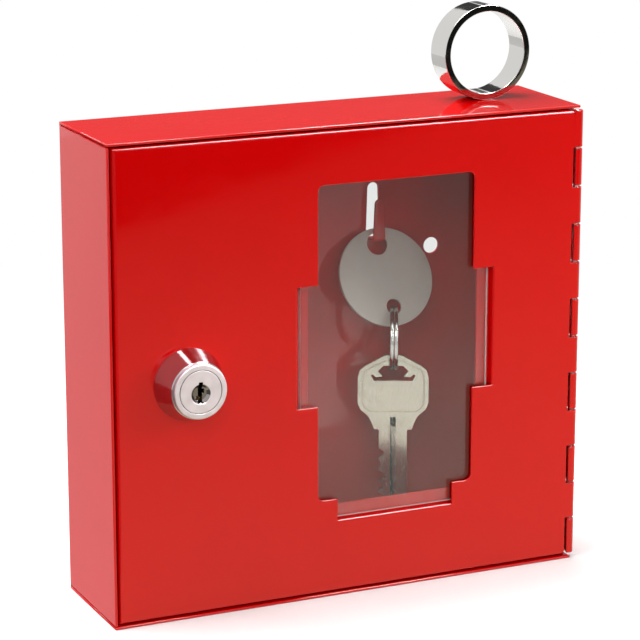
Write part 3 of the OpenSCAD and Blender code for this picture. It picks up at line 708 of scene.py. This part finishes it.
barrel = bmesh.new()
barrel_steps = 96
stations = [head_back_y, thread_start_y]
count = round((barrel_end_y - thread_start_y) / thread_pitch * rows_per_pitch)
stations += [thread_start_y + (barrel_end_y - thread_start_y) * (k + 1) / count for k in range(count)]
head_profile = rounded([
    (plug_bore, face_seat_y), (face_bore, face_seat_y), (face_bore, barrel_low.y, 0.12 * mm),
    (head_r, barrel_low.y, 0.4 * mm), (head_r, head_back_y, 0.1 * mm), (neck_r, head_back_y),
])
rows = []
for a in full_turn(barrel_steps):
    profile = [(plug_bore, barrel_end_y)] + head_profile
    profile += [(thread_radius(a, y), y) for y in stations]
    rows.append(about_lock(a, profile))
grid(barrel, rows, around=True, closed=True)
barrel_piece = piece("threaded_barrel", barrel, satin, "door", "satin_chrome", "lock_barrel")

# Stop behind the barrel, open over the arc in which the stop washer's lug turns
stop = bmesh.new()
stop_bore, stop_inset, stop_root = 5.6 * mm, 0.05 * mm, 0.5 * mm
stop_from, stop_to = 302, 508
stop_y0, stop_y1 = barrel_end_y - stop_root, barrel_high.y
rows = []
for a in bend(stop_from, stop_to, 4):
    outer = min(barrel_r - stop_inset, flat_radius(a, barrel_flat - stop_inset))
    corners = ((stop_bore, stop_y0), (outer, stop_y0), (outer, stop_y1), (stop_bore, stop_y1))
    rows.append(about_lock(a, corners))
made = grid(stop, rows, around=True)
stop.faces.new(made[0][:4])
stop.faces.new(made[-1][:4])
cut(barrel_piece, stop, "UNION")

# Grooves above and below the bore, into which the wafers reach
groove_w, groove_h = 4.4 * mm, 12.2 * mm
groove_in, groove_short = 4.2 * mm, 2 * mm
groove_y0, groove_y1 = barrel_low.y + groove_in, barrel_end_y - groove_short
cut(barrel_piece, block(
    (lock.x - groove_w / 2, groove_y0, lock.z - groove_h / 2),
    (lock.x + groove_w / 2, groove_y1, lock.z + groove_h / 2),
))
barrel_piece.modifiers.new("flat faces", "WEIGHTED_NORMAL")


# Lock washer and nut
# A flat steel washer and a thin hexagon nut, both bright zinc. They are screwed up behind the door
# and clamp the lock in it.

keep_node("lock_washer", zinc, 0.12 * mm)
nut_low, nut_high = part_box("lock_nut")
nut_corner_r = (nut_high.x - nut_low.x) / 2
nut_bore, bore_break = 7.5 * mm, 0.4 * mm
nut_face_share, nut_slope_share = 0.86, 0.5
nut_face_r = nut_corner_r * nut_face_share
nut_steps = 96
side_turn = math.pi / 3
nut = bmesh.new()
rows = []
for a in full_turn(nut_steps):
    outer = nut_corner_r * math.cos(side_turn / 2) / math.cos(a % side_turn - side_turn / 2)
    slope = (outer - nut_face_r) * nut_slope_share
    profile = [
        (nut_bore, nut_low.y + bore_break), (nut_bore + bore_break, nut_low.y), (nut_face_r, nut_low.y),
        (outer, nut_low.y + slope), (outer, nut_high.y - slope), (nut_face_r, nut_high.y),
        (nut_bore + bore_break, nut_high.y), (nut_bore, nut_high.y - bore_break),
    ]
    rows.append(about_lock(a, profile))
grid(nut, rows, around=True, closed=True)
nut_piece = piece("thin_nut", nut, zinc, "door", "zinc_steel", "lock_nut")
edges_broken(nut_piece, 0.1 * mm, sharpest=25)


# Lock plug
# The turning core of the lock: a satin face disc with a polished dish and a warded keyway, a body
# slotted for the wafers, and a square tail for the cam.

def plug_chrome():
    """The satin finish of the lock's face, polished inside the dish and the keyway, where its colour is
    also darkened as painted shade.
    """
    finish = satin.copy()
    finish.name = "plug_chrome"
    tree = finish.node_tree
    shader = tree.nodes["Principled BSDF"]
    place = add(tree, "TexCoord").outputs["Object"]
    face = (0, plug_face_y, 0)
    behind = add(tree, "VectorMath", {0: place, 1: face}, operation="SUBTRACT").outputs[0]
    deep = add(tree, "SeparateXYZ", {0: behind}).outputs["Y"]
    sunk = between(tree, deep, 0.0, 1.0, 0.05 * mm, 0.15 * mm)
    satin_gloss = shader.inputs["Roughness"].links[0].from_socket
    gloss = add(tree, "Mix", {"Factor": sunk, "A": satin_gloss, "B": 0.12}).outputs["Result"]
    # Inside the dish and the keyway the colour runs to a dark grey: painted shade in the recesses.
    satin_color = shader.inputs["Base Color"].links[0].from_socket
    color = add(tree, "MixRGB", {"Fac": sunk, "Color1": satin_color, "Color2": (0.30, 0.27, 0.27, 1)})
    connect(tree, shader, Roughness=gloss, Base_Color=color.outputs["Color"])
    return finish


plug_face_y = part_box("lock_plug")[0].y
keep_node("lock_plug", plug_chrome(), 0.1 * mm)


# Wafers and their springs
# Five stamped brass wafers, 0.8 mm thick, ride in the plug's slots. Each is pushed by its own small
# coil spring, wound from 0.18 mm wire.

def brass():
    """Stamped brass, slightly tarnished, with a fine rolling grain."""
    finish, tree, shader = new_finish("tumbler_brass", (0.70, 0.50, 0.20), 0.28, 1.0)
    color = shades(tree, cloudy(tree, 1.2 * mm), (0.60, 0.41, 0.15), (0.78, 0.58, 0.27))
    grain = relief(tree, cloudy(tree, 0.1 * mm, (8, 1, 1)), 0.003 * mm)
    gloss = between(tree, cloudy(tree, 0.6 * mm), 0.20, 0.38)
    connect(tree, shader, Base_Color=color, Roughness=gloss, Normal=grain)
    return finish


def tube(bm, path, side, radius, sides, wide=1.0, square=1.0, ease=0, drawn_in=0.75):
    """Sweeps a wire along a path, made wider along side and squarer with square below 1. So many
    rings at each end as ease says are drawn in."""
    rows = []
    section = [
        [math.copysign(abs(s) ** square, s) for s in (math.cos(b), math.sin(b))]
        for b in full_turn(sides)
    ]
    for i, point in enumerate(path):
        ahead = (path[min(i + 1, len(path) - 1)] - path[max(i - 1, 0)]).normalized()
        across = ahead.cross(side).normalized()
        up = ahead.cross(across) * wide
        end = min(i, len(path) - 1 - i)
        r = radius * (drawn_in if end < ease else 1.0)
        rows.append([point + (across * u + up * v) * r for u, v in section])
    made = grid(bm, rows, around=True)
    bm.faces.new(made[0][:sides])
    bm.faces.new(made[-1][:sides])


keep_node("tumbler_wafers", brass(), 0.06 * mm)
wafer_count, wafer_pitch, wafer_t = 5, 2.4 * mm, 0.8 * mm
spring_low, spring_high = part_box("wafer_springs")
wire_r = 0.09 * mm
coil_r = (spring_high.x - spring_low.x) / 2 - wire_r
coil_turns = 6
coil_steps = coil_turns * 16
coil_x = (spring_low.x + spring_high.x) / 2
climb = spring_high.z - spring_low.z - 2 * wire_r
first_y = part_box("tumbler_wafers")[0].y + wafer_t / 2
springs = bmesh.new()
for i in range(wafer_count):
    foot = Vector((coil_x, first_y + i * wafer_pitch, spring_low.z + wire_r))
    coil = []
    for k in range(coil_steps + 1):
        a = 2 * math.pi * coil_turns * k / coil_steps
        rise = climb * k / coil_steps
        coil.append(foot + Vector((coil_r * math.cos(a), coil_r * math.sin(a), rise)))
    tube(springs, coil, Vector((0, 0, 1)), wire_r, sides=6)
piece("coil_springs", springs, zinc, "lock_cylinder", "zinc_steel", "wafer_springs")


# Stop washer, cam and screw
# Stamped zinc-plated steel on the plug's square tail: the washer whose lug limits the quarter turn,
# the cam that catches behind the strike, and a pan-head screw with its washer.

keep_node("stop_washer", zinc, 0.1 * mm)
keep_node("lock_cam", zinc, 0.2 * mm)
keep_node("cam_washer", zinc, 0.1 * mm)
keep_node("cam_screw", zinc, 0.2 * mm, steps=3)


# Key tag
# A grey fibre disc, 32.5 mm across and 1 mm thick, with a hole for the hook and one for the split
# ring. It hangs from the hook and leans forward at the bottom.

def grey_fibre():
    """Matte grey board with a fine fibrous grain and faint specks. Its grey is lighter than the board's
    own: painted light for the dim inside of the box.
    """
    finish, tree, shader = new_finish("grey_tag", (0.64, 0.595, 0.545), 0.8)
    shader.inputs["Specular IOR Level"].default_value = 0.2
    cloud = cloudy(tree, 5 * mm, detail=4.0)
    fibres = cloudy(tree, 0.35 * mm, (3, 1, 1), detail=3.0)
    tone = add(tree, "Math", {0: cloud, 1: fibres}, operation="MULTIPLY").outputs[0]
    fleck = between(tree, tone, 0, 1, 0.12, 0.4)
    color = shades(tree, fleck, (0.62, 0.575, 0.525), (0.66, 0.615, 0.565))
    gloss = between(tree, fibres, 0.7, 0.9)
    grain = relief(tree, fibres, 0.006 * mm)
    connect(tree, shader, Base_Color=color, Roughness=gloss, Normal=grain)
    return finish


def place_mesh(bm, matrix):
    """Moves a mesh to its place."""
    bmesh.ops.transform(bm, matrix=matrix, verts=bm.verts)


def plate(part, thickness):
    """Gives a flat outline its thickness, half to each side."""
    wall = part.modifiers.new("plate", "SOLIDIFY")
    wall.thickness = thickness
    wall.offset = 0


tag_r, tag_t = 16.25 * mm, 1 * mm
tag_up, tag_down = 11 * mm, 10 * mm
hook_hole_r, ring_hole_r = 3.6 * mm, 2.6 * mm
tag_lean = Matrix.Rotation(math.radians(-25), 4, "X")
tag_tilt = Matrix.Rotation(math.radians(-5), 4, "Y")
tag = bmesh.new()
tag_loops = (
    circle(0, -tag_up, tag_r, 128), circle(0, 0, hook_hole_r, 64),
    circle(0, -tag_up - tag_down, ring_hole_r),
)
filled(tag, [[(u, 0, v) for u, v in loop] for loop in tag_loops])
place_mesh(tag, Matrix.Translation(tag_pivot) @ tag_lean @ tag_tilt)
tag_piece = piece("fibre_disc", tag, grey_fibre(), "tag", "grey_tag", "key_tag")
plate(tag_piece, tag_t)
edges_broken(tag_piece, 0.15 * mm)


# Split ring
# Bright plated spring wire, 1.1 mm thick and a little flat, wound in nearly two turns that almost
# touch, with one step across. It hangs in the tag's lower hole and carries the key.

chrome = bright_chrome("bright_chrome", (0.62, 0.61, 0.585))
ring_at = joint_place("ring_swing")
ring_r, ring_wire, ring_pitch = 10 * mm, 1.1 * mm, 1.35 * mm
ring_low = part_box("split_ring")[0]
ring_centre = Vector((ring_at.x, ring_at.y, ring_low.z + ring_r + ring_wire / 2))
ring_yaw = math.radians(-25)
ring_steps = 60

# In degrees: where the wire starts, how far past one turn it goes on, over how long an arc it steps
# across, and where that arc's middle lies
ring_start, ring_lap, ring_cross, ring_cross_at = 30, 300, 60, 90
ring_path = []
for k in range(round((360 + ring_lap) / 360 * ring_steps) + 1):
    a = ring_start + 360 * k / ring_steps
    shift = ring_pitch * min(1, max(0, (a - (360 - ring_cross / 2)) / ring_cross))
    c = math.radians(a + ring_cross_at)
    ring_path.append(Vector((shift - ring_pitch / 2, ring_r * math.sin(c), -ring_r * math.cos(c))))
ring = bmesh.new()
tube(ring, ring_path, Vector((1, 0, 0)), ring_wire / 2, sides=20, wide=1.22, square=0.6, ease=1)
place_mesh(ring, Matrix.Translation(ring_centre) @ Matrix.Rotation(ring_yaw, 4, "Z"))
piece("wound_ring", ring, chrome, "ring", "bright_chrome", "split_ring")


# Emergency key
# A house key stamped from 2 mm nickelled brass. Its bow has a raised rim and a shaped hole for the
# ring, and its blade is milled with a groove, a step along the cut side and five bits.

def key_nickel():
    """Warm nickel, rubbed along the key's length."""
    finish, tree, shader = new_finish("key_nickel", (0.56, 0.52, 0.43), 0.24, 1.0)
    rubbed = cloudy(tree, 0.12 * mm, (1, 1, 14), detail=3.0)
    color = shades(tree, cloudy(tree, 4 * mm), (0.52, 0.48, 0.39), (0.60, 0.56, 0.47))
    gloss = between(tree, rubbed, 0.22, 0.28)
    scuffs = relief(tree, rubbed, 0.0006 * mm)
    connect(tree, shader, Base_Color=color, Roughness=gloss, Normal=scuffs)
    return finish


key_low, key_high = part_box("emergency_key")
key_t, bow_h = 2 * mm, 20.4 * mm
key_shoulder, key_l, blade_w = 25 * mm, key_high.z - key_low.z, 9.2 * mm
rim_w, panel_deep = 1.4 * mm, 0.22 * mm
line_w, line_deep = 0.38 * mm, 0.5 * mm
groove_deep, key_groove_w, step_x = 0.3 * mm, 1.7 * mm, -1.4 * mm
past_tip, groove_past_bow, step_past_shoulder = 1 * mm, 0.4 * mm, 1.6 * mm
first_bit, bit_pitch, bit_mouth, bit_floor = 8 * mm, 3.8 * mm, 1.6 * mm, 0.5 * mm
bit_depths = [1.6 * mm, 0.6 * mm, 2.2 * mm, 1.2 * mm, 1.8 * mm]
eye_top = 3.6 * mm


def mirrored(points):
    """Adds the left half to the right half of an outline."""
    return points + [(-u, *rest) for u, *rest in reversed(points)]


def bow(inset):
    """The right half of the bow from its apex down, drawn in from its edge."""
    i = inset / mm
    points = [
        (2.6, -1.1 * i, 1.5), (9.1, -3.6 - 0.9 * i, 1.5), (10.8 - 0.8 * i, -5 - 0.6 * i, 1.0),
        (11.5 - i, -7.4, 1.5), (11.5 - i, -16, 1.5), (10.6 - 0.8 * i, -18.2 + 0.5 * i, 1.0),
        (8.1 - 0.4 * i, -20.4 + i, 1.0),
    ]
    return [(u * mm, v * mm, r * mm) for u, v, r in points]


neck = [
    (blade_w / 2 + 2.8 * mm, -bow_h - 1.2 * mm, 0.8 * mm),
    (blade_w / 2 + 1.5 * mm, -key_shoulder, 0.3 * mm), (blade_w / 2, -key_shoulder, 0.3 * mm),
    (blade_w / 2, -key_l + 3 * mm, 0.5 * mm), (1 * mm, -key_l, 0.4 * mm),
]
bits = []
for i, deep in enumerate(bit_depths):
    middle = -key_shoulder - first_bit - i * bit_pitch
    for v, cut_in in ((bit_mouth, 0), (bit_floor, deep), (-bit_floor, deep), (-bit_mouth, 0)):
        bits.append((-blade_w / 2 + cut_in, middle + v, 0.2 * mm))
right_half = bow(0) + neck
left_half = [(-u, v, r) for u, v, r in reversed(right_half)]
shoulder_at = next(i for i, point in enumerate(left_half) if point[:2] == (-blade_w / 2, -key_shoulder))
outline = right_half + left_half[:shoulder_at] + bits[::-1] + left_half[shoulder_at:]
eye = [(3.2, 0), (4.9, -1.8), (3.3, -3.6), (5.6, -3.8), (6.6, -2.9), (7.2, -3.2), (6.2, -5)]
eye = mirrored([(u * mm, v * mm - eye_top, 0.25 * mm) for u, v in eye])
key = bmesh.new()
filled(key, [[(u, 0, v) for u, v in loop] for loop in (rounded(outline), rounded(eye))])
key_piece = piece("cut_key", key, key_nickel(), "key", "key_nickel", "emergency_key")
plate(key_piece, key_t)

# On each face a sunk panel with a deeper line round it, and a groove along the blade
panel, panel_floor = (rounded(mirrored(bow(inset))) for inset in (rim_w, rim_w + line_w))
steps_down = (
    (panel, -key_t), (panel, line_deep), (panel_floor, line_deep), (panel_floor, panel_deep),
)
for face in (-1, 1):
    panel_tool = bmesh.new()
    rows = [[(u, face * (key_t / 2 - deep), v) for u, v in loop] for loop, deep in steps_down]
    made = grid(panel_tool, rows, around=True)
    panel_tool.faces.new(made[0][:-1])
    panel_tool.faces.new(made[-1][:-1])
    cut(key_piece, panel_tool)
    groove_y = sorted((face * (key_t / 2 - groove_deep), face * key_t))
    cut(key_piece, block(
        (-key_groove_w / 2, groove_y[0], -key_l - past_tip),
        (key_groove_w / 2, groove_y[1], -bow_h - groove_past_bow),
    ))

# On the front, a step along the cut side of the blade
cut(key_piece, block(
    (-blade_w, -key_t, -key_l - past_tip),
    (step_x, groove_deep - key_t / 2, -key_shoulder + step_past_shoulder),
))
key_piece.data.transform(
    Matrix.Translation((ring_at.x, ring_at.y, key_high.z)) @ Matrix.Rotation(ring_yaw, 4, "Z")
)
key_piece.data.polygons.foreach_set("use_smooth", [True] * len(key_piece.data.polygons))
edges_broken(key_piece, 0.08 * mm)


# Striker ring
# A loose ring of bright chromed steel that stands on the lid, 30 mm across with a 2 mm wall. It
# serves to break the pane.

striker_low, striker_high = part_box("striker_ring")
striker_r = (striker_high.x - striker_low.x) / 2
striker_wall, striker_edge = 2 * mm, 0.18 * mm
striker_centre = ((striker_low.x + striker_high.x) / 2, 0, (striker_low.z + striker_high.z) / 2)
striker_profile = rounded([
    (striker_r - striker_wall, striker_low.y), (striker_r, striker_low.y),
    (striker_r, striker_high.y), (striker_r - striker_wall, striker_high.y),
], striker_edge)
striker = bmesh.new()
turned(striker, striker_centre, along_y, striker_profile, steps=160)
striker_piece = piece("chrome_ring", striker, chrome, "striker", "bright_chrome", "striker_ring")
striker_piece.modifiers.new("flat faces", "WEIGHTED_NORMAL")


# Studio
# A plain pale floor, a white surround, soft lamps, and dark and bright cards that only the gloss of
# the enamel, the metal and the pane can see.

def stage_mesh(name, rows, finish):
    """A piece of the studio, made of rows of points."""
    skin = bmesh.new()
    grid(skin, rows)
    mesh = bpy.data.meshes.new(name)
    skin.to_mesh(mesh)
    skin.free()
    mesh.materials.append(finish)
    made = bpy.data.objects.new(name, mesh)
    bpy.context.scene.collection.objects.link(made)
    made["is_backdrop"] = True
    return made


def seen(tree):
    """1 for camera, glossy and transmission rays, 0 for the rest."""
    path = add(tree, "LightPath").outputs
    both = add(tree, "Math", {0: path["Is Camera Ray"], 1: path["Is Glossy Ray"]}, operation="MAXIMUM")
    every = {0: both.outputs[0], 1: path["Is Transmission Ray"]}
    return add(tree, "Math", every, operation="MAXIMUM").outputs[0]


def floor_finish():
    """White floor that keeps the object's shadow and is plain white further away."""
    finish, tree, shader = new_finish("pale_floor", (0.86, 0.86, 0.86), 0.9)
    shader.inputs["Specular IOR Level"].default_value = 0.1
    bounced = add(tree, "LightPath").outputs["Is Diffuse Ray"]
    connect(tree, shader, Base_Color=shades(tree, bounced, (0.86, 0.86, 0.86), (0.5, 0.5, 0.5)))
    place = add(tree, "TexCoord").outputs["Object"]
    away = add(tree, "VectorMath", {0: place}, operation="LENGTH").outputs["Value"]
    far = between(tree, away, 0.0, 1.0, 0.16, 0.45)
    glow = between(tree, seen(tree), 0.15, 1.0, 0.0, 1.0)
    white = add(tree, "Emission", {"Color": (1, 1, 1, 1), "Strength": glow}).outputs[0]
    mix = add(tree, "MixShader", {0: far, 1: shader.outputs[0], 2: white})
    tree.links.new(mix.outputs[0], tree.nodes["Material Output"].inputs["Surface"])
    return finish


def card_finish(name, near, far=None, near_y=0.0, far_y=1.0, color=(1, 1, 1)):
    """A card's even brightness, or one that runs from near to far along Y."""
    finish = bpy.data.materials.new(name)
    finish.use_nodes = True
    tree = finish.node_tree
    tree.nodes.remove(tree.nodes["Principled BSDF"])
    light = add(tree, "Emission", {"Color": (*color, 1), "Strength": near})
    if far is not None:
        place = add(tree, "TexCoord").outputs["Object"]
        y = add(tree, "SeparateXYZ", {0: place}).outputs["Y"]
        tree.links.new(between(tree, y, near, far, near_y, far_y), light.inputs["Strength"])
    tree.links.new(light.outputs[0], tree.nodes["Material Output"].inputs["Surface"])
    return finish


def card(name, rows, finish):
    """A card that only glossy rays see."""
    made = stage_mesh(name, rows, finish)
    made.visible_camera = False
    made.visible_diffuse = False
    made.visible_transmission = False
    made.visible_shadow = False


def sky_point(azimuth, elevation, distance=1.6):
    """A point seen from the cabinet, azimuth from the wall's side to the right, both in degrees."""
    a, e = math.radians(azimuth), math.radians(elevation)
    return Vector((math.sin(a) * math.cos(e), math.cos(a) * math.cos(e), math.sin(e))) * distance


def sky_card(name, azimuths, elevations, strength):
    """An even card high up, between two azimuths and two elevations in degrees."""
    card(name, [[sky_point(a, e) for a in azimuths] for e in elevations], card_finish(name, strength))


def lamp(name, direction, distance, size, power, in_gloss=True):
    """A square soft lamp in a direction from the cabinet's middle, looking at it."""
    light = bpy.data.lights.new(name, "AREA")
    light.size = size
    light.energy = power
    made = bpy.data.objects.new(name, light)
    bpy.context.scene.collection.objects.link(made)
    towards = Vector(direction).normalized()
    made.location = Vector((0, 0, top_z / 2)) + towards * distance
    made.rotation_euler = towards.to_track_quat("Z", "Y").to_euler()
    made.visible_glossy = in_gloss


floor_ends = (-4.0, 4.0)
stage_mesh("floor", [[(x, y, 0) for x in floor_ends] for y in floor_ends], floor_finish())

# Cards that lie just over the floor and end just short of the cabinet. They stand for a darker floor.
card_z = 0.5 * mm
near_y, near_x = -21.5 * mm, -79.5 * mm
card_seam = ((-0.11, near_y), (-0.57, 0.75))
rows = [[(x, y, card_z) for x in (-0.12, 0.9)] for y in (-0.95, near_y)]
card("front_card", rows, card_finish("front_card", 0.20, 0.80, -0.60, -0.04, (1, 0.94, 0.70)))
rows = [[(-1.1, y, card_z), (x, y, card_z)] for x, y in ((-0.12, -0.95), *card_seam)]
card("side_card", rows, card_finish("side_card", 0.18))
rows = [[(x, y, card_z), (near_x, y, card_z)] for x, y in card_seam]
card("left_card", rows, card_finish("left_card", 0.72, 0.80, 0.25, 0.7))

# Dark cards for the door, the lid and the striker ring
rows = [[(0.02, -0.470, z), (0.90, -1.118, z)] for z in (0, 1.2)]
card("dark_card", rows, card_finish("dark_card", 0.01))
sky_card("lid_card", (14, 36), (9, 19), 0.15)
sky_card("ring_card", (2, 27), (17.5, 32), 0.06)

# Bright cards, for the light lines along the upward edges and the two streaks on the collar
arc_r, arc_z = 1.45, 0.08
edge_arc = [(-arc_r * math.cos(a), arc_z + arc_r * math.sin(a)) for a in bend(15, 125)]
rows = [[(x, y, z) for x in (0.42, 0.92)] for y, z in edge_arc]
card("edge_card", rows, card_finish("edge_card", 22.0))
sky_card("left_streak", (172, 188), (48, 60), 36.0)
sky_card("right_streak", (137, 149), (26, 37), 36.0)

# Soft lamps: direction, distance, size and power
lamp("top_lamp", (-0.18, 0.25, 0.93), 1.25, 1.0, 27.5)
lamp("front_lamp", (0, -0.587, 0.809), 1.4, 0.30, 0.9, in_gloss=False)
lamp("key_lamp", (0.51, -0.68, 0.52), 1.4, 0.44, 1.3, in_gloss=False)
lamp("front_fill", (0.04, -0.95, 0.27), 1.5, 0.65, 2.6, in_gloss=False)
lamp("upper_fill", (-0.5, -0.85, 0.6), 1.4, 0.44, 4.0, in_gloss=False)
lamp("left_fill", (-0.9, -0.1, 0.42), 1.4, 0.9, 9.2, in_gloss=False)
lamp("right_fill", (0.26, -0.22, 0.125), 0.363, 0.15, 0.48, in_gloss=False)

world = bpy.data.worlds.new("studio")
bpy.context.scene.world = world
world.use_nodes = True
world_tree = world.node_tree
surround = world_tree.nodes["Background"].inputs
surround["Color"].default_value = (1, 1, 1, 1)
world_seen = between(world_tree, seen(world_tree), 0.20, 1.0, 0.0, 1.0)
world_tree.links.new(world_seen, surround["Strength"])


# Camera
# It stands to the front left and a little above, at the photograph's angle. Its long lens keeps the
# uprights nearly parallel, and the angles are in radians.

look_down, look_right = 0.2546, 0.4294
camera = bpy.data.objects.new("camera", bpy.data.cameras.new("camera"))
bpy.context.scene.collection.objects.link(camera)
camera.data.lens = 151.76
camera.data.clip_start = 0.01
camera.location = (-0.3427, -0.7459, 0.2976)
camera.rotation_euler = (math.pi / 2 - look_down, 0, -look_right)
bpy.context.scene.camera = camera
bpy.context.scene.view_settings.view_transform = "Standard"

low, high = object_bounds()
